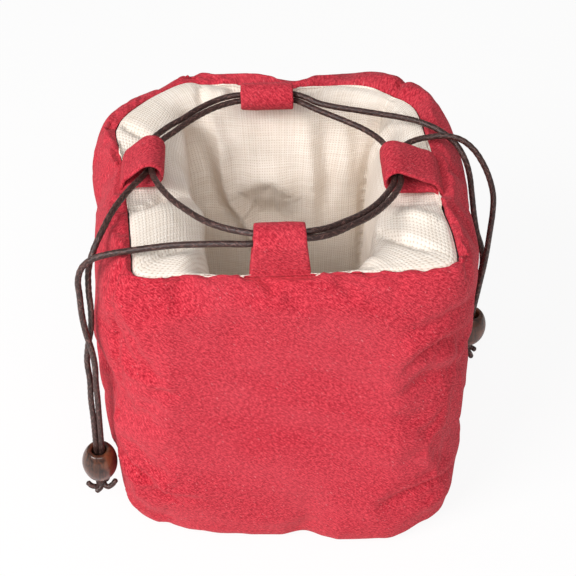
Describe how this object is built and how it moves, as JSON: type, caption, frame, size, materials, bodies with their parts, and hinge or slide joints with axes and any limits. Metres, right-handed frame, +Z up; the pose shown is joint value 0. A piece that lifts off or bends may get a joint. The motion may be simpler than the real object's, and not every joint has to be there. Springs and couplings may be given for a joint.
{
  "type": "drawstring storage bag",
  "caption": "Padded square drawstring bag with a pale lining, fabric loops round the open mouth, and cords that hang down outside through wooden beads with knots under them.",
  "frame": {"origin": "on the surface that the bag stands on, under the middle of the bag's base", "axes": "+Z up, the front with its upright loop faces -Y, +X to the right seen from the front"},
  "size_m": [0.1597, 0.1375, 0.1504],
  "materials": {
    "outer_fabric": "matte crepe weave",
    "lining_fabric": "matte plain weave",
    "wadding": "matte fibre",
    "cord": "satin braid",
    "bead_wood": "stained and lacquered"
  },
  "bodies": {
    "bag": {"outer_wall": "outer_fabric", "outer_base": "outer_fabric", "lining_wall": "lining_fabric", "lining_base": "lining_fabric", "wadding_wall": "wadding", "wadding_base": "wadding", "front_loop": "outer_fabric", "right_loop": "outer_fabric", "back_loop": "outer_fabric", "left_loop": "outer_fabric", "left_cord_ring": "cord", "right_cord_ring": "cord", "left_cord_side_run": "cord", "left_cord_front_run": "cord", "right_cord_front_run": "cord", "right_cord_back_run": "cord"},
    "left_tail": {"left_tail_side_strand": "cord", "left_tail_front_strand": "cord", "left_knot": "cord"},
    "left_bead": {"left_bead": "bead_wood"},
    "right_tail": {"right_tail_front_strand": "cord", "right_tail_back_strand": "cord", "right_knot": "cord"},
    "right_bead": {"right_bead": "bead_wood"}
  },
  "joints": [
    {"name": "left_tail_swing", "type": "hinge", "parent": "bag", "child": "left_tail", "pos_m": [-0.0703, -0.0455, 0.118], "axis": [0, 1, 0], "range_deg": [0, 90]},
    {"name": "left_bead_slide", "type": "slide", "parent": "left_tail", "child": "left_bead", "axis": [0.0454, 0, 0.999], "range_m": [0, 0.032]},
    {"name": "right_tail_swing", "type": "hinge", "parent": "bag", "child": "right_tail", "pos_m": [0.0792, 0.001, 0.1], "axis": [0, -1, 0], "range_deg": [0, 90]},
    {"name": "right_bead_slide", "type": "slide", "parent": "right_tail", "child": "right_bead", "axis": [0.0802, 0, 0.9968], "range_m": [0, 0.022]}
  ]
}
